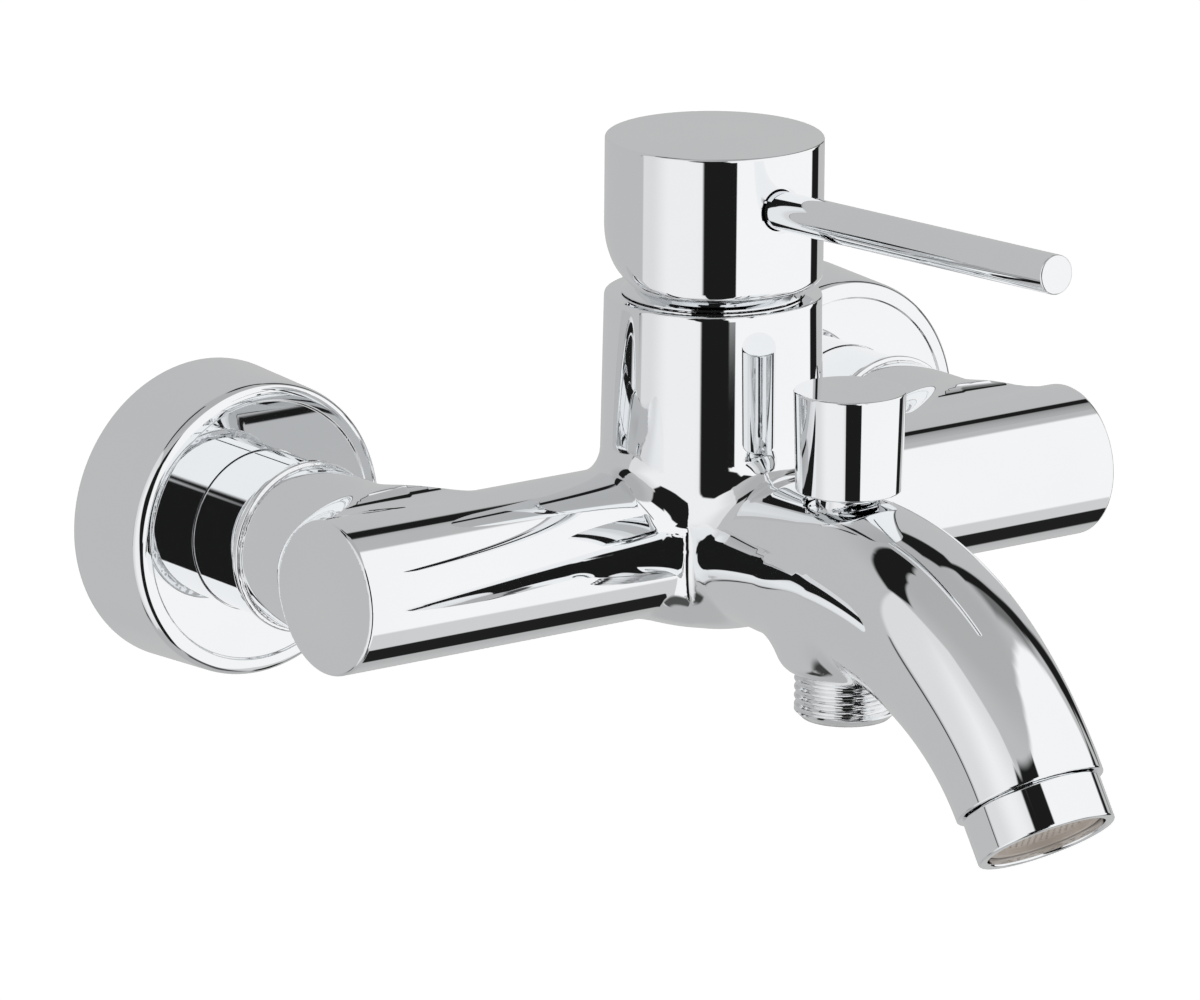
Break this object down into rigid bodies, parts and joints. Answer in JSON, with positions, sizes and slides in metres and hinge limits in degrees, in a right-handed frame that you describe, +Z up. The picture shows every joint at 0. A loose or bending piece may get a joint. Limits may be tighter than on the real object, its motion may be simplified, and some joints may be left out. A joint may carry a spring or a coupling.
{
  "type": "wall mounted bath faucet",
  "caption": "Chrome wall mounted single-lever bath and shower faucet with a horizontal bar body, curved spout, pull-up diverter and threaded shower outlet.",
  "frame": {"origin": "on the wall plane, midway between the two inlets, at the height of the bar's axis", "axes": "+X right along the wall seen from the room, +Y into the wall, +Z up; the spout and the lever point along -Y"},
  "size_m": [0.2128, 0.2151, 0.1299],
  "materials": {
    "chrome": "polished chrome plating on brass",
    "rough_chrome": "chrome plated threads and unions, less polished",
    "brass": "machined brass",
    "steel": "stainless steel",
    "rubber": "moulded black rubber",
    "white_plastic": "moulded white plastic",
    "grey_plastic": "moulded grey plastic",
    "beige_plastic": "moulded beige plastic",
    "ceramic": "ground alumina"
  },
  "bodies": {
    "fixed": {"faucet_body": "chrome", "escutcheon_left": "chrome", "escutcheon_right": "chrome", "union_nut_left": "chrome", "union_nut_right": "chrome", "trim_ring": "chrome", "diverter_bush": "chrome", "aerator_housing": "chrome", "eccentric_union_left": "rough_chrome", "eccentric_union_right": "rough_chrome", "shower_outlet": "rough_chrome", "inlet_tail_left": "brass", "inlet_tail_right": "brass", "cartridge_nut": "brass", "check_valve_spring_left": "steel", "check_valve_spring_right": "steel", "escutcheon_ring_left": "rubber", "escutcheon_ring_right": "rubber", "union_seal_left": "rubber", "union_seal_right": "rubber", "cartridge_seal": "rubber", "diverter_o_ring": "rubber", "aerator_seal": "rubber", "check_valve_housing_left": "white_plastic", "check_valve_housing_right": "white_plastic", "cartridge_base": "white_plastic", "cartridge_housing": "white_plastic", "aerator_insert": "beige_plastic", "fixed_ceramic_disc": "ceramic"},
    "rotor": {"cartridge_rotor": "white_plastic", "lever_pivot_pin": "steel"},
    "lever": {"lever_stem": "steel", "lever_cap": "chrome", "lever_rod": "chrome", "lever_grub_screw": "steel", "grub_screw_plug": "grey_plastic"},
    "disc": {"moving_ceramic_disc": "ceramic", "disc_carrier": "grey_plastic"},
    "diverter": {"diverter_knob": "chrome", "diverter_stem": "steel", "diverter_valve_disc": "rubber", "diverter_valve_nut": "brass", "diverter_spring": "steel"},
    "poppet_left": {"check_valve_poppet_left": "grey_plastic"},
    "poppet_right": {"check_valve_poppet_right": "grey_plastic"}
  },
  "joints": [
    {"name": "lever_turn", "type": "hinge", "parent": "fixed", "child": "rotor", "pos_m": [0, -0.074, 0.031], "axis": [0, 0, 1], "range_deg": [-50, 50]},
    {"name": "lever_lift", "type": "hinge", "parent": "rotor", "child": "lever", "pos_m": [0, -0.074, 0.031], "axis": [-1, 0, 0], "range_deg": [0, 22]},
    {"name": "disc_slide", "type": "slide", "parent": "rotor", "child": "disc", "axis": [0, -1, 0], "range_m": [0, 0.003]},
    {"name": "diverter_pull", "type": "slide", "parent": "fixed", "child": "diverter", "axis": [0, 0, 1], "range_m": [0, 0.0085], "stiffness_N_per_m": 150, "springref_m": -0.012, "deforming": ["diverter_spring"]},
    {"name": "check_valve_open_left", "type": "slide", "parent": "fixed", "child": "poppet_left", "axis": [0, -1, 0], "range_m": [0, 0.003], "stiffness_N_per_m": 40, "springref_m": -0.004, "deforming": ["check_valve_spring_left"]},
    {"name": "check_valve_open_right", "type": "slide", "parent": "fixed", "child": "poppet_right", "axis": [0, -1, 0], "range_m": [0, 0.003], "stiffness_N_per_m": 40, "springref_m": -0.004, "deforming": ["check_valve_spring_right"]}
  ],
  "couplings": [
    {"joint": "disc_slide", "follows": "lever_lift", "m_per_rad": 0.0074}
  ]
}
